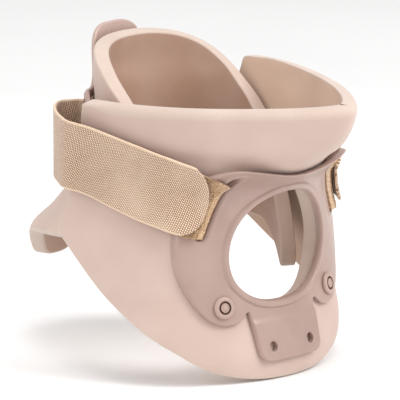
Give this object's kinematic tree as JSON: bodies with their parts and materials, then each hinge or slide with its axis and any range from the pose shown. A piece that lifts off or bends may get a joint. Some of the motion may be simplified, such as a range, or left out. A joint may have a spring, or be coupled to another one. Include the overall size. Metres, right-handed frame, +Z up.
{
  "type": "cervical collar",
  "caption": "Two-piece foam cervical collar with rigid front and rear plates, a throat opening, a chin cup and an elastic hook-and-loop strap.",
  "frame": {"origin": "on the neck axis, level with the lowest edge of the front half", "axes": "+Z up along the neck, -Y to the wearer's front (chin), -X to the wearer's right"},
  "size_m": [0.1788, 0.2531, 0.2038],
  "materials": {
    "foam": "matt closed-cell foam",
    "plate": "satin",
    "rivet": "satin",
    "elastic": "knitted elastic webbing",
    "loop": "brushed loop pile",
    "hook": "hook tape"
  },
  "bodies": {
    "rear_half": {"rear_foam_shell": "foam", "rear_support_plate": "plate", "rear_rivets": "rivet", "rear_rivet_pins": "rivet", "rear_rivet_washers": "rivet", "rear_strap_band": "elastic"},
    "front_half": {"front_foam_shell": "foam", "front_support_plate": "plate", "front_rivets": "rivet", "front_rivet_pins": "rivet", "front_rivet_washers": "rivet", "right_loop_strip": "loop", "left_loop_strip": "loop"},
    "right_strap": {"right_strap_side": "elastic"},
    "left_strap": {"left_strap_side": "elastic"},
    "right_tip": {"right_strap_tip": "elastic", "right_hook_patch": "hook"},
    "left_tip": {"left_strap_tip": "elastic", "left_hook_patch": "hook"}
  },
  "joints": [
    {"name": "front_half_forward", "type": "slide", "parent": "rear_half", "child": "front_half", "axis": [0, -1, 0], "range_m": [0, 0.085]},
    {"name": "right_strap_swing", "type": "hinge", "parent": "rear_half", "child": "right_strap", "pos_m": [-0.05093, 0.05458, 0.1415], "axis": [0, 0, -1], "range_deg": [0, 60]},
    {"name": "left_strap_swing", "type": "hinge", "parent": "rear_half", "child": "left_strap", "pos_m": [0.04284, 0.06114, 0.1415], "axis": [0, 0, 1], "range_deg": [0, 60]},
    {"name": "right_tip_peel", "type": "hinge", "parent": "right_strap", "child": "right_tip", "pos_m": [-0.07991, -0.02239, 0.12712], "axis": [-0.1596, 0.1991, -0.9669], "range_deg": [0, 80]},
    {"name": "left_tip_peel", "type": "hinge", "parent": "left_strap", "child": "left_tip", "pos_m": [0.07991, -0.02239, 0.12712], "axis": [-0.1596, -0.1991, 0.9669], "range_deg": [0, 80]}
  ],
  "couplings": [
    {"joint": "right_strap_swing", "follows": "front_half_forward", "rad_per_m": 12},
    {"joint": "left_strap_swing", "follows": "front_half_forward", "rad_per_m": 12}
  ]
}
